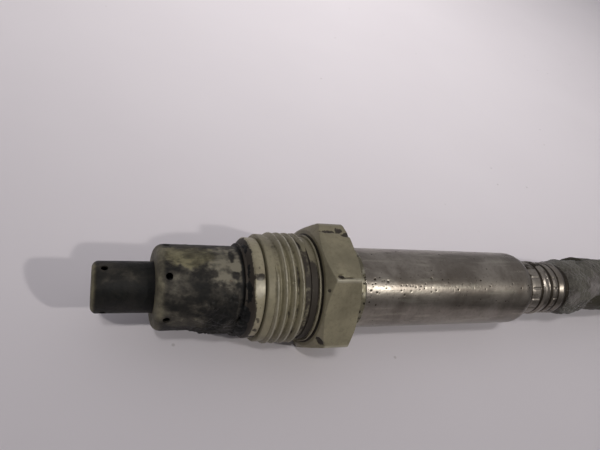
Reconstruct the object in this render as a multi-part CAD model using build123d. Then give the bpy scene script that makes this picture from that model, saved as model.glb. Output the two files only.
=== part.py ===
"""Exhaust gas sensor probe with a union nut, a sleeved lead and a sealed plug.

Frame: millimetres, +Z up. The probe lies along X with its measuring tip towards -X.
The origin is on the probe axis, in the plane of the seat edge of the housing flange.
The lowest flat of the hexagon rests on the plane Z = -HEX_FLATS / 2, and so do the
lead and the plug. Angles around the probe axis start at -Y and grow towards +Z.
"""
from build123d import *
import os
from math import atan2, cos, degrees, pi, radians, sin, tan

os.makedirs("parts", exist_ok=True)

# ---------------------------------------------------------------- driving dimensions
# protection covers
TIP_X = -24.5            # closed end of the inner cover
TIP_R = 4.18             # outer radius at the closed end
INNER_R = 4.30           # outer radius at the open end
INNER_WALL = 0.30
TIP_ROUND = 1.0
TIP_HOLE_X = -22.7
TIP_HOLE_R = 0.55
TIP_HOLES = 3
TIP_HOLE_ANGLE = 100.0
INLET_X = -6.4           # inlet holes of the inner cover, under the outer cover
INLET_R = 0.75
INLETS = 6
COVER_X = -15.1          # front face of the outer cover
COVER_R = 7.20
COVER_WALL = 0.40
COVER_ROUND = 1.4
COVER_HOLE_X = -13.3
COVER_HOLE_R = 0.60
COVER_HOLES = 6
COVER_HOLE_ANGLE = 8.4

# housing, from its front spigot to its rear spigot
SPIGOT_X = -4.6
SPIGOT_R = 6.78
NECK_R = 7.75
FLANGE_R = 8.85
FLANGE_LEN = 1.85
BARREL_R = 7.70
REAR_X = 18.8            # step from the barrel to the rear spigot
HOUSING_END = 24.0
REAR_R = 7.15
PASSAGE_R = 2.90
BORE_R = 5.60

# union nut
THREAD_PITCH = 1.5
THREAD_ROOT_R = 9.10
THREAD_CREST_R = 9.97
THREAD_START = 3.55      # centre of the first crest
THREAD_TURNS = 4.0
THREAD_ANGLE = 87.0      # where the ridge begins, around the axis
NUT_X = 2.05
PILOT_R = 9.52
PILOT_END = 3.35
LAND_X = 9.9
LAND_R = 9.30
STOP_X = 11.15           # thin stop ring in front of the hexagon
STOP_R = 9.75
HEX_X = 11.8
HEX_END = 18.3
HEX_FLATS = 22.0
NUT_BORE_R = 7.75

# rear sleeve and its crimped tail
COLLAR_X = 18.95
COLLAR_R = 8.15
SLEEVE_X = 21.3
SLEEVE_R = 7.65
SLEEVE_WALL = 0.45
SHOULDER_X = 59.8
SHOULDER_ARC = 3.6
TAIL_R = 5.95
TAIL_BORE_R = 4.80
TAIL_END = 74.9

# sensing element and the stack that holds it
ELEMENT = (64.5, 4.2, 1.5)
ELEMENT_X = -19.5
SLOT_PLAY = 0.05
STACK_X = 0.5
STACK_PLAY = 0.03
STACK = (
    ("front_ceramic_support", 5.5),
    ("front_talc_seal", 3.5),
    ("middle_ceramic_support", 3.5),
    ("rear_talc_seal", 3.5),
    ("rear_ceramic_support", 5.5),
)
WASHER_LEN = 0.8

# rear connection
HOLDER_X = 29.5
HOLDER_LEN = 16.5
HOLDER_R = 6.60
CONTACT_PITCH = 1.4
CONTACT_WIDTH = 0.8
WIRE_PITCH = 2.35
WIRE_ROW = 1.45
WIRE_R = 0.80
GROMMET_X = 51.0
GROMMET_END = 70.0

# lead
LEAD_R = 4.0
LEAD_GAP = 0.1           # between the lead's first face and what it meets
FLOOR_Z = -HEX_FLATS / 2
LIE_Z = FLOOR_Z + LEAD_R
FIBRE_END = 81.6         # rear end of the fibre sleeve; the boot starts behind it
TIE_PLAY = 0.3
TIE_WALL = 0.4
TIE_Z = FLOOR_Z + LEAD_R + TIE_PLAY + TIE_WALL
COIL_R = 43.3            # where the coil starts, on its side nearest the probe axis
COIL_X = 131.0
COIL_Y = 1.0 - COIL_R
COIL_PITCH = 8.4         # between neighbouring turns
COIL_STEP = 30.0         # angle between the coil's points
COIL_POINTS = 18
CLIMB = (375.0, 480.0)   # where the second turn climbs on to the first
CLIMB_TOP = 70.0         # and how far round the first turn's section it gets
LAST_RUN = 13.0
TIE_WIDTH = 5.0

# plug, in its own frame: x towards the mating end, z up
PLUG_W = 19.0
PLUG_H = 15.0
PLUG_LEN = 33.0
PLUG_Z = FLOOR_Z + 2 * LEAD_R + 0.1 + PLUG_H / 2      # it lies on the coil
CAP_LEN = 5.0
SEAL_LEN = 5.0
SHROUD_X = 20.0
SHROUD_WALL = 1.5
LOCK_X = 13.0
LOCK_LEN = 4.5
BLADE_PITCH_Y = 4.4
BLADE_PITCH_Z = 5.0


def around(angle):
    """Direction (y, z) at an angle around the probe axis, from -Y towards +Z."""
    return -cos(radians(angle)), sin(radians(angle))


def turned(outline):
    """Solid turned about the X axis from a closed outline of (x, radius) points."""
    face = make_face(Polyline(*[(x, 0, r) for x, r in outline], close=True))
    return revolve(face, Axis.X, 360)


def turned_round(outline, radii):
    """The same, with a radius at each corner of the outline."""
    points = [(x, 0, r) for x, r in outline]
    face = make_face(FilletPolyline(*points, radius=radii, close=True))
    return revolve(face, Axis.X, 360)


def rod(x0, x1, radius, y=0.0, z=0.0):
    """Round bar along X."""
    plane = Plane(origin=(x0, y, z), z_dir=(1, 0, 0))
    return extrude(plane * Circle(radius), x1 - x0)


def radial_holes(x, radius, count, first_angle):
    """Round drills pointing outwards from the axis, evenly spaced."""
    drills = []
    for i in range(count):
        y, z = around(first_angle + i * 360 / count)
        plane = Plane(origin=(x, 0, 0), z_dir=(0, y, z))
        drills.append(extrude(plane * Circle(radius), COVER_R + 1))
    return drills


def block(x0, x1, y0, y1, z0, z1):
    """Box from its lowest to its highest corner."""
    centre = Location(((x0 + x1) / 2, (y0 + y1) / 2, (z0 + z1) / 2))
    return centre * Box(x1 - x0, y1 - y0, z1 - z0)


# ---------------------------------------------------------------- protection covers
def inner_cover():
    """Deep drawn cup that carries the gas past the element and out at the tip."""
    end = SPIGOT_X + 2.55
    wall = INNER_WALL
    outline = [
        (end, INNER_R),
        (TIP_X, TIP_R),
        (TIP_X, 0),
        (TIP_X + wall, 0),
        (TIP_X + wall, TIP_R - wall),
        (end, INNER_R - wall),
    ]
    cup = turned_round(outline, [0, TIP_ROUND, 0, 0, TIP_ROUND - wall, 0])
    for drill in radial_holes(TIP_HOLE_X, TIP_HOLE_R, TIP_HOLES, TIP_HOLE_ANGLE):
        cup -= drill
    for drill in radial_holes(INLET_X, INLET_R, INLETS, 0):
        cup -= drill
    return cup


def outer_cover():
    """Wide cup around the inner cover, with gas inlets behind its rounded shoulder."""
    end = -1.25
    wall = COVER_WALL
    lip = INNER_R + 0.03
    outline = [
        (end, COVER_R),
        (COVER_X, COVER_R),
        (COVER_X, lip),
        (COVER_X + wall, lip),
        (COVER_X + wall, COVER_R - wall),
        (end, COVER_R - wall),
    ]
    cup = turned_round(outline, [0, COVER_ROUND, 0, 0, COVER_ROUND - wall, 0])
    for drill in radial_holes(COVER_HOLE_X, COVER_HOLE_R, COVER_HOLES, COVER_HOLE_ANGLE):
        cup -= drill
    return cup


# ---------------------------------------------------------------- housing and nut
def housing():
    """Steel body: spigot for the covers, conical seat, flange, barrel and crimped end."""
    lip_x = STACK_X + sum(length for _, length in STACK) + WASHER_LEN + 0.05
    outline = [
        (SPIGOT_X, INNER_R + 0.05),
        (SPIGOT_X, SPIGOT_R),
        (-1.2, SPIGOT_R),
        (-1.2, NECK_R),
        (-0.8, NECK_R),
        (0, FLANGE_R - 0.15),
        (0.15, FLANGE_R),
        (FLANGE_LEN - 0.1, FLANGE_R),
        (FLANGE_LEN, FLANGE_R - 0.1),
        (FLANGE_LEN, BARREL_R),
        (REAR_X, BARREL_R),
        (REAR_X, REAR_R),
        (HOUSING_END - 0.4, REAR_R),
        (HOUSING_END, REAR_R - 0.5),
        (HOUSING_END, 4.7),
        (lip_x, 4.7),
        (lip_x, BORE_R),
        (STACK_X, BORE_R),
        (STACK_X, PASSAGE_R),
        (-2.0, PASSAGE_R),
        (-2.0, INNER_R + 0.05),
    ]
    return turned(outline)


def thread_ridge():
    """One helical ridge with 60 degree flanks."""
    root = THREAD_ROOT_R - 0.05
    crest_half = THREAD_PITCH / 16 + 0.06
    root_half = crest_half + (THREAD_CREST_R - root) * tan(radians(30))
    height = THREAD_TURNS * THREAD_PITCH
    start = THREAD_START
    path = Helix(THREAD_PITCH, height, root, center=(start, 0, 0), direction=(1, 0, 0))
    at = path @ 0
    out = Vector(0, at.Y, at.Z).normalized()
    plane = Plane(origin=at, x_dir=(1, 0, 0), z_dir=Vector(1, 0, 0).cross(out))
    depth = THREAD_CREST_R - root
    outline = [
        (-root_half, 0),
        (root_half, 0),
        (crest_half, depth),
        (-crest_half, depth),
    ]
    profile = plane * make_face(Polyline(*outline, close=True))
    ridge = sweep(profile, path=path, is_frenet=True)
    now = degrees(atan2(at.Z, -at.Y))
    return Rotation(now - THREAD_ANGLE, 0, 0) * ridge


def union_nut():
    """Threaded nut with a hexagon, free to turn on the housing barrel."""
    outline = [
        (NUT_X, NUT_BORE_R),
        (NUT_X, PILOT_R - 0.15),
        (NUT_X + 0.15, PILOT_R),
        (PILOT_END, PILOT_R),
        (PILOT_END, THREAD_ROOT_R),
        (LAND_X, THREAD_ROOT_R),
        (LAND_X, LAND_R),
        (STOP_X, LAND_R),
        (STOP_X, STOP_R),
        (STOP_X + 0.35, STOP_R),
        (STOP_X + 0.35, LAND_R - 0.1),
        (HEX_X + 0.1, LAND_R - 0.1),
        (HEX_X + 0.1, NUT_BORE_R),
    ]
    body = turned(outline)
    corner_r = HEX_FLATS / 2 / cos(radians(30))
    plane = Plane(origin=(HEX_X, 0, 0), x_dir=(0, 1, 0), z_dir=(1, 0, 0))
    prism = extrude(plane * RegularPolygon(corner_r, 6), HEX_END - HEX_X)
    cone = turned([
        (HEX_X, 0),
        (HEX_X, 10.6),
        (HEX_X + 1.25, corner_r + 0.06),
        (HEX_END - 0.8, corner_r + 0.06),
        (HEX_END, 11.35),
        (HEX_END, 0),
    ])
    hexagon = (prism & cone) - rod(HEX_X - 1, HEX_END + 1, NUT_BORE_R)
    return body + hexagon + thread_ridge()


def retaining_collar():
    """Ring pressed on the rear spigot; it keeps the nut on the barrel."""
    inner = REAR_R + 0.02
    outline = [
        (COLLAR_X, inner),
        (COLLAR_X, COLLAR_R),
        (SLEEVE_X - 0.05, COLLAR_R),
        (SLEEVE_X - 0.05, inner),
    ]
    return turned_round(outline, [0, 0.2, 0.45, 0])


# ---------------------------------------------------------------- sensing stack
def sensing_element():
    """Flat layered ceramic bar with chamfered edges at its hot end."""
    length, width, thick = ELEMENT
    bar = block(ELEMENT_X, ELEMENT_X + length, -width / 2, width / 2, -thick / 2, thick / 2)
    ends = bar.edges().filter_by(Axis.Y).group_by(Axis.X)[0]
    return chamfer(ends, 0.4)


def element_slot(x0, x1):
    """Slot that the element passes through."""
    half_w = ELEMENT[1] / 2 + SLOT_PLAY
    half_t = ELEMENT[2] / 2 + SLOT_PLAY
    return block(x0, x1, -half_w, half_w, -half_t, half_t)


def stack_parts():
    """Ceramic supports and talc seals, one behind the other."""
    made = {}
    x = STACK_X
    for name, length in STACK:
        ring = rod(x, x + length, BORE_R - STACK_PLAY)
        if "ceramic" in name:
            ring = chamfer(ring.edges().filter_by(GeomType.CIRCLE), 0.3)
        made[name] = ring - element_slot(x - 1, x + length + 1)
        x += length
    made["packing_washer"] = rod(x, x + WASHER_LEN, BORE_R - STACK_PLAY) - rod(x - 1, x + 2, 3.2)
    return made


# ---------------------------------------------------------------- rear sleeve
def rear_sleeve():
    """Thin steel sleeve drawn in to a tail with two rolled crimps."""
    drop = SLEEVE_R - TAIL_R
    turn = atan2((SHOULDER_ARC**2 - (SHOULDER_ARC - drop)**2)**0.5, SHOULDER_ARC - drop)
    arc_mid = (SHOULDER_X + SHOULDER_ARC * sin(turn / 2), 0,
               SLEEVE_R - SHOULDER_ARC * (1 - cos(turn / 2)))
    arc_end = (SHOULDER_X + SHOULDER_ARC * sin(turn), 0, TAIL_R)
    outside = Line((SLEEVE_X, 0, SLEEVE_R), (SHOULDER_X, 0, SLEEVE_R))
    outside += ThreePointArc((SHOULDER_X, 0, SLEEVE_R), arc_mid, arc_end)
    waves = [
        arc_end,
        (63.3, 0, 5.72),
        (64.0, 0, TAIL_R),
        (65.7, 0, TAIL_R),
        (66.5, 0, 5.50),
        (67.3, 0, 5.98),
        (68.3, 0, 5.90),
        (69.4, 0, 5.42),
        (70.3, 0, 5.80),
        (71.3, 0, 5.60),
        (72.6, 0, 5.85),
        (73.6, 0, 5.62),
        (74.2, 0, 5.62),
        (TAIL_END, 0, 5.30),
    ]
    radii = [0.2, 0.4, 0.4, 0.4, 0.3, 0.4, 0.5, 0.4, 0.4, 0.4, 0.3, 0.3]
    outside += FilletPolyline(*waves, radius=radii)
    bore = SLEEVE_R - SLEEVE_WALL
    inside = Polyline(
        (TAIL_END, 0, 5.30),
        (TAIL_END, 0, TAIL_BORE_R),
        (SHOULDER_X + 4.0, 0, TAIL_BORE_R),
        (SHOULDER_X + 0.4, 0, bore),
        (SLEEVE_X, 0, bore),
        (SLEEVE_X, 0, SLEEVE_R),
    )
    return revolve(make_face(outside + inside), Axis.X, 360)


def wire_places():
    """(y, z, contact y) of the six conductors: two rows of three."""
    places = []
    for side in (-1, 1):
        for i in (-1, 0, 1):
            places.append((i * WIRE_PITCH, side * WIRE_ROW, i * CONTACT_PITCH))
    return places


def contact_holder(side):
    """Half of the ceramic holder; side is +1 for the upper half and -1 for the lower."""
    end = HOLDER_X + HOLDER_LEN
    drum = chamfer(rod(HOLDER_X, end, HOLDER_R).edges().filter_by(GeomType.CIRCLE), 0.4)
    room = HOLDER_R + 1
    half = drum & block(HOLDER_X - 1, end + 1, -room, room, *sorted((side * 0.04, side * room)))
    half -= block(HOLDER_X - 1, end + 1, -2.6, 2.6, *sorted((0, side * 2.1)))
    groove = rod(36.6, 41.4, HOLDER_R + 1) - rod(36.6, 41.4, HOLDER_R - 0.25)
    return half - groove


def contact_springs():
    """Six bent strips that press on the element and end in crimp barrels."""
    strips = []
    for y, z, pad_y in wire_places():
        side = 1 if z > 0 else -1
        bend = Polyline(
            (30.2, 0, side * 1.90),
            (33.5, 0, side * 0.93),
            (35.0, 0, side * 0.93),
            (38.5, 0, side * 1.90),
            (46.2, 0, side * 1.90),
        )
        strip = make_face(offset(bend, 0.12, side=Side.BOTH))
        leaf = extrude(strip, CONTACT_WIDTH / 2, both=True).moved(Location((0, pad_y, 0)))
        low_y, high_y = sorted((pad_y, y))
        low_z, high_z = sorted((z, side * 2.02))
        half = CONTACT_WIDTH / 2
        tab = block(46.1, 47.0, low_y - half, high_y + half, low_z, high_z)
        barrel = rod(47.0, 50.4, WIRE_R + 0.24, y, z) - rod(47.5, 51, WIRE_R + 0.02, y, z)
        strips.append(leaf + tab + barrel)
    return strips


def holder_clip():
    """Open spring ring that clamps the two holder halves together."""
    inner = HOLDER_R - 0.22
    ring = rod(36.8, 41.2, inner + 0.35) - rod(36, 42, inner)
    return ring - block(36, 42, -1.2, 1.2, 0, HOLDER_R + 2)


def sealing_grommet():
    """Rubber bung with a passage for each conductor."""
    bore = SLEEVE_R - SLEEVE_WALL - 0.02
    tail = TAIL_BORE_R - 0.02
    bung = turned([
        (GROMMET_X, 0),
        (GROMMET_X, bore),
        (SHOULDER_X + 0.3, bore),
        (SHOULDER_X + 3.9, tail),
        (GROMMET_END, tail),
        (GROMMET_END, 0),
    ])
    for y, z, _ in wire_places():
        bung -= rod(GROMMET_X - 1, GROMMET_END + 1, WIRE_R + 0.01, y, z)
    return bung


def inner_wires():
    """Six insulated conductors from the contacts to the end of the tail."""
    return [rod(47.6, TAIL_END - 0.15, WIRE_R, y, z) for y, z, _ in wire_places()]


# ---------------------------------------------------------------- lead
def lead_route():
    """Centre line of the lead: out of the tail, down, one and a half turns, and in to the plug."""
    points = [
        Vector(TAIL_END + LEAD_GAP, 0, 0),
        Vector(89.0, 0.7, -0.3),
        Vector(104.0, 1.7, -2.4),
        Vector(COIL_X - 14, 1.4, TIE_Z),
    ]
    for i in range(COIL_POINTS):
        turned = COIL_STEP * (i + 0.5)
        below = COIL_R - COIL_PITCH * (turned % 360) / 360
        radius, z = below, LIE_Z
        if turned > 360:
            climbed = min(1, max(0, (turned - CLIMB[0]) / (CLIMB[1] - CLIMB[0])))
            radius = below - COIL_PITCH * cos(radians(CLIMB_TOP * climbed))
            z = LIE_Z + COIL_PITCH * sin(radians(CLIMB_TOP * climbed))
        if min(turned % 360, 360 - turned % 360) < COIL_STEP:
            z = TIE_Z
        last = COIL_POINTS - 1 - i
        if last < 2:
            z += (PLUG_Z - z) / (last + 1)
        reach = radius / cos(radians(COIL_STEP / 2))
        angle = radians(90 - turned)
        points.append(Vector(COIL_X + reach * cos(angle), COIL_Y + reach * sin(angle), z))
    points.append(points[-1] - Vector(LAST_RUN, 0, 0))
    return points


def lead():
    """Round lead swept along straight runs joined by tangent arcs."""
    points = lead_route()
    radii = []
    for before, here, after in zip(points, points[1:], points[2:]):
        run_in = here - before
        run_out = after - here
        half_turn = radians(run_in.get_angle(run_out)) / 2
        radii.append(0.45 * min(run_in.length, run_out.length) / tan(half_turn))
    path = FilletPolyline(*points, radius=radii)
    plane = Plane(origin=points[0], z_dir=points[1] - points[0])
    tube = sweep(plane * Circle(LEAD_R), path=path)
    print("lead arcs, mm:", [round(r, 1) for r in radii])
    print("lead length, mm:", round(path.length, 1))
    print("volume over section times length:", round(tube.volume / (pi * LEAD_R**2 * path.length), 4))
    return tube


def fibre_sleeve():
    """Loose braided end of the glass fibre sleeve, just behind the tail."""
    inner = LEAD_R + 0.55
    outline = [
        (TAIL_END + 0.1, inner),
        (TAIL_END + 0.1, 4.95),
        (77.2, 5.85),
        (79.8, 5.95),
        (FIBRE_END, 5.75),
        (FIBRE_END, inner),
    ]
    tube = turned_round(outline, [0, 0.1, 1.0, 2.0, 0.3, 0])
    return tube.moved(Location((0, 0.15, 0)))


def lead_boot():
    """Shrunk rubber boot over the sleeve's end, tapering on to the lead."""
    length = 26.0
    inner = LEAD_R + 1.0
    outline = [
        (0, inner),
        (0, 6.20),
        (9.0, 6.15),
        (length, 5.35),
        (length, inner),
    ]
    boot = turned_round(outline, [0, 0.5, 8.0, 0.35, 0])
    return boot.moved(Location((FIBRE_END + 0.9, 1.1, 0.25), (0, 6.8, 1.8)))


def coil_tie():
    """Strap round the coil's two turns where they lie side by side."""
    x = COIL_X - TIE_WIDTH / 2 - 0.5
    y = COIL_Y + COIL_R - COIL_PITCH / 2 + 0.1
    plane = Plane(origin=(x, y, TIE_Z), x_dir=(0, 1, 0), z_dir=(1, 0, 0))
    hole_r = LEAD_R + TIE_PLAY
    outside = extrude(plane * SlotCenterToCenter(COIL_PITCH, 2 * (hole_r + TIE_WALL)), TIE_WIDTH)
    return outside - extrude(plane * SlotCenterToCenter(COIL_PITCH, 2 * hole_r), TIE_WIDTH)


# ---------------------------------------------------------------- plug
def plug_place():
    """Where the plug's own frame lies: at the end of the lead, along its last run."""
    end = lead_route()[-1]
    return Location((end.X, end.Y, PLUG_Z), (0, 0, 180))


def rounded_bar(x0, x1, width, height, corner):
    """Bar along x with a rounded rectangular section."""
    plane = Plane(origin=(x0, 0, 0), x_dir=(0, 1, 0), z_dir=(1, 0, 0))
    return extrude(plane * RectangleRounded(width, height, corner), x1 - x0)


def blade_places():
    """(y, z) of the six blades."""
    places = []
    for side in (-1, 1):
        for i in (-1, 0, 1):
            places.append((i * BLADE_PITCH_Y, side * BLADE_PITCH_Z / 2))
    return places


def plug_housing():
    """Moulded body: seal pocket, six passages, mating shroud, catch and ribs."""
    front = PLUG_LEN
    body = rounded_bar(CAP_LEN - 2, front, PLUG_W, PLUG_H, 2.2)
    pocket_end = CAP_LEN + SEAL_LEN
    body -= rounded_bar(CAP_LEN - 3, pocket_end, PLUG_W - 3.0, PLUG_H - 3.0, 1.2)
    wall = 2 * SHROUD_WALL
    body -= rounded_bar(SHROUD_X, front + 1, PLUG_W - wall, PLUG_H - wall, 1.2)
    for y, z in blade_places():
        body -= block(pocket_end - 1, SHROUD_X + 1, y - 0.95, y + 0.95, z - 0.45, z + 0.45)
    body -= block(LOCK_X - 0.1, LOCK_X + LOCK_LEN + 0.1, -6.6, PLUG_W, -1.3, 1.3)
    for x in (6.0, 7.6, 9.2):
        for side in (-1, 1):
            low, high = sorted((side * (PLUG_W / 2 - 0.2), side * (PLUG_W / 2 + 0.45)))
            body += block(x, x + 0.8, low, high, -4.5, 4.5)
    top = PLUG_H / 2
    catch = Polyline(
        (22.0, top - 0.2),
        (29.0, top - 0.2),
        (29.0, top + 0.2),
        (23.5, top + 1.8),
        (22.0, top + 1.8),
        close=True,
    )
    body += extrude(Plane.XZ * make_face(catch), 2.5, both=True)
    for y in (-5.2, 5.2):
        body += block(19.0, front - 0.4, y - 0.7, y + 0.7, top - 0.2, top + 1.0)
    return body


def wire_seal():
    """Rubber mat seal behind the passages."""
    mat = rounded_bar(CAP_LEN + 0.05, CAP_LEN + SEAL_LEN - 0.05, PLUG_W - 3.06, PLUG_H - 3.06, 1.17)
    groove = rounded_bar(7.0, 8.2, PLUG_W, PLUG_H, 2.2)
    groove -= rounded_bar(6.9, 8.3, PLUG_W - 4.0, PLUG_H - 4.0, 0.8)
    return mat - groove


def rear_cap():
    """Cap that holds the seal and guides the lead, with a round neck."""
    cap = rounded_bar(2.0, CAP_LEN, PLUG_W - 3.1, PLUG_H - 3.1, 1.15)
    cap += rounded_bar(0.6, CAP_LEN - 2.05, PLUG_W, PLUG_H, 2.2)
    neck = extrude(Plane(origin=(-4.0, 0, 0), z_dir=(1, 0, 0)) * Circle(5.4), 5.0)
    cap += neck
    return cap - rod(-5, 3 * LEAD_GAP, LEAD_R + 0.4)


def blades():
    """Six flat blades that stand in the shroud."""
    made = []
    for y, z in blade_places():
        blade = block(CAP_LEN + SEAL_LEN + 0.1, 28.0, y - 0.75, y + 0.75, z - 0.32, z + 0.32)
        tip = blade.edges().filter_by(Axis.Y).group_by(Axis.X)[-1]
        made.append(chamfer(tip, 0.22))
    return made


def secondary_lock():
    """Slider that bars the blades; it pulls out sideways to its released place."""
    gap = 0.1
    face_y = PLUG_W / 2
    tongue = block(LOCK_X + gap, LOCK_X + LOCK_LEN - gap, -6.3, face_y + 0.3, -1.15, 1.15)
    head = block(LOCK_X - 1.0, LOCK_X + LOCK_LEN + 1.0, face_y + 0.12, face_y + 1.5, -3.2, 3.2)
    head = chamfer(head.edges().group_by(Axis.Y)[-1], 0.35)
    return tongue + head


# ---------------------------------------------------------------- writing the parts
def write(name, made, place=None):
    """Write one node; a list is a group of separate solids."""
    items = made if isinstance(made, list) else [made]
    solids = [s for item in items for s in item.solids()]
    if place is not None:
        solids = [place * s for s in solids]
    shape = solids[0] if len(solids) == 1 else Compound(children=solids)
    export_step(shape, f"parts/{name}.step")


def main():
    write("inner_cover", inner_cover())
    write("outer_cover", outer_cover())
    write("housing", housing())
    write("union_nut", union_nut())
    write("retaining_collar", retaining_collar())
    write("sensing_element", sensing_element())
    for name, made in stack_parts().items():
        write(name, made)
    write("rear_sleeve", rear_sleeve())
    write("contact_holder_upper", contact_holder(1))
    write("contact_holder_lower", contact_holder(-1))
    write("contact_springs", contact_springs())
    write("holder_clip", holder_clip())
    write("sealing_grommet", sealing_grommet())
    write("inner_wires", inner_wires())
    write("lead", lead())
    write("fibre_sleeve", fibre_sleeve())
    write("lead_boot", lead_boot())
    write("coil_tie", coil_tie())
    place = plug_place()
    write("plug_housing", plug_housing(), place)
    write("plug_wire_seal", wire_seal(), place)
    write("plug_rear_cap", rear_cap(), place)
    write("plug_blades", blades(), place)
    write("secondary_lock", secondary_lock(), place)


main()
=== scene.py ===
"""Looks of the exhaust gas sensor probe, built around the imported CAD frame.

Lengths in the tables are millimetres in the CAD frame: the probe lies along X, its tip
towards -X, and angles round the probe start at -Y and grow towards +Z.
"""

from math import cos, pi, radians, sin, tan

import bmesh
import bpy
import numpy as np
from mathutils import Matrix, Vector


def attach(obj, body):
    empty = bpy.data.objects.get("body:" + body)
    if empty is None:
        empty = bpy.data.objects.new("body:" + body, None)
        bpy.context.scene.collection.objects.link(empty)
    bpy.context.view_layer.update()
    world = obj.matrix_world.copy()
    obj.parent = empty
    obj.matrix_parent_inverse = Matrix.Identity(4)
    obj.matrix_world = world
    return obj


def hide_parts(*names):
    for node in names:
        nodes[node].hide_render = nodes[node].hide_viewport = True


MM = 0.001
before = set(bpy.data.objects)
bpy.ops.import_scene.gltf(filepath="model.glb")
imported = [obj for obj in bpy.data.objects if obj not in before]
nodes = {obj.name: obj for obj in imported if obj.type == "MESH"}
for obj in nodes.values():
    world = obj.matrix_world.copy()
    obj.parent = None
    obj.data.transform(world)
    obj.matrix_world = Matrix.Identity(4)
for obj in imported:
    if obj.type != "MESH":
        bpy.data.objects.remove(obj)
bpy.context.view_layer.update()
scene = bpy.context.scene

# ------------------------------------------------------------------ camera and floor
CAMERA_AT = Vector((-25.79, -50.63, 72.44)) * MM
CAMERA_RIGHT = Vector((0.92108, -0.22242, 0.31961))
CAMERA_FORWARD = Vector((0.38647, 0.62245, -0.68059))
CAMERA_LENS = 30.74
FLOOR_Z = -11.0 * MM

# ------------------------------------------------------------------ main sizes of the probe
TIP_END, TIP_R, TIP_HOLE_X, TIP_HOLE_R = -24.5, 4.18, -22.7, 0.55
COVER_END, COVER_R, COVER_LIP, COVER_HOLE_X, COVER_HOLE_R = -15.1, 7.2, -1.25, -13.3, 0.6
TIP_HOLES = [100 + 120 * k for k in range(3)]
COVER_HOLES = [8.4 + 60 * k for k in range(6)]
FLANGE_R, FLANGE_END, BARREL_R = 8.85, 1.85, 7.7
PILOT_R, ROOT_R, THREAD_END = 9.52, 9.1, 9.84
RIDGE_TURNS, RIDGE_START, RIDGE_ANGLE, PITCH = 4, 3.55, 87.0, 1.5
HEX_START, HEX_END, HALF_FLATS, CHAMFER_R = 11.8, 18.3, 11.0, 12.76
NUT_FACES = [-90 + 60 * k for k in range(6)]
SLEEVE_START, SHOULDER_X, SLEEVE_R, SHOULDER_ARC = 21.3, 59.8, 7.65, 3.6
TAIL_END, TAIL_BORE_R = 74.9, 4.8
TONGUE_TURN = 76


def make_camera():
    data = bpy.data.cameras.new("camera")
    data.lens = CAMERA_LENS
    data.sensor_width = 36
    data.clip_start = 0.005
    cam = bpy.data.objects.new("camera", data)
    scene.collection.objects.link(cam)
    right = CAMERA_RIGHT.normalized()
    back = -(CAMERA_FORWARD - right * right.dot(CAMERA_FORWARD)).normalized()
    up = back.cross(right)
    facing = Matrix((right, up, back)).transposed()
    cam.matrix_world = Matrix.Translation(CAMERA_AT) @ facing.to_4x4()
    scene.camera = cam


# ------------------------------------------------------------------ shader helper
class Look:
    """A material whose nodes are made by short calls; each call returns its output socket."""

    def __init__(self, name, **sockets):
        self.mat = bpy.data.materials.new(name)
        self.mat.use_nodes = True
        self.tree = self.mat.node_tree
        self.tree.nodes.clear()
        out = self.tree.nodes.new("ShaderNodeOutputMaterial")
        self.bsdf = self.tree.nodes.new("ShaderNodeBsdfPrincipled")
        self.tree.links.new(self.bsdf.outputs[0], out.inputs[0])
        self.place = self.add("ShaderNodeTexCoord", "Object")
        self.set(**sockets)

    def add(self, kind, out=0, props=None, **ins):
        node = self.tree.nodes.new(kind)
        for key, value in (props or {}).items():
            setattr(node, key, value)
        for key, value in ins.items():
            by_number = key[0] == "i" and key[1:].isdigit()
            self.feed(node.inputs[int(key[1:]) if by_number else key], value)
        return node.outputs[out]

    def feed(self, socket, value):
        if isinstance(value, bpy.types.NodeSocket):
            self.tree.links.new(value, socket)
        elif isinstance(value, tuple) and len(value) == 3 and socket.type == "RGBA":
            socket.default_value = (*value, 1)
        else:
            socket.default_value = value

    def set(self, **sockets):
        for key, value in sockets.items():
            self.feed(self.bsdf.inputs[key.replace("_", " ")], value)

    def noise(self, scale, detail=4.0, rough=0.55, stretch=None, warp=0.0):
        place = self.place
        if stretch:
            place = self.add("ShaderNodeMapping", i0=place, Scale=stretch)
        return self.add("ShaderNodeTexNoise", i0=place, Scale=scale, Detail=detail,
                        Roughness=rough, Distortion=warp)

    def cells(self, scale):
        return self.add("ShaderNodeTexVoronoi", "Distance", i0=self.place, Scale=scale)

    def attr(self, name):
        return self.add("ShaderNodeAttribute", "Fac", {"attribute_name": name})

    def step(self, value, low, high, to_low=0.0, to_high=1.0):
        return self.spread(value, low, high, to_low, to_high, "SMOOTHSTEP")

    def spread(self, value, low, high, to_low, to_high, way="LINEAR"):
        return self.add("ShaderNodeMapRange", 0, {"interpolation_type": way}, Value=value,
                        **{"From Min": low, "From Max": high, "To Min": to_low, "To Max": to_high})

    def math(self, op, a, b=0.0):
        return self.add("ShaderNodeMath", 0, {"operation": op}, i0=a, i1=b)

    def mix(self, fac, a, b, blend="MIX"):
        node = self.tree.nodes.new("ShaderNodeMix")
        node.data_type, node.blend_type = "RGBA", blend
        self.feed(node.inputs[0], fac)
        self.feed(node.inputs[6], a)
        self.feed(node.inputs[7], b)
        return node.outputs[2]

    def ramp(self, fac, *stops):
        node = self.tree.nodes.new("ShaderNodeValToRGB")
        self.feed(node.inputs[0], fac)
        ends = node.color_ramp.elements
        while len(ends) < len(stops):
            ends.new(0.5)
        for end, (place, colour) in zip(ends, stops):
            end.position, end.color = place, (*colour, 1)
        return node.outputs[0]

    def swing(self, value, size):
        """The value's swing about its middle of 0.5, times size."""
        return self.math("MULTIPLY", self.math("SUBTRACT", value, 0.5), size)

    def bump(self, height, depth_mm, strength):
        return self.add("ShaderNodeBump", Height=height, Strength=strength, Distance=depth_mm * MM)


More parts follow.
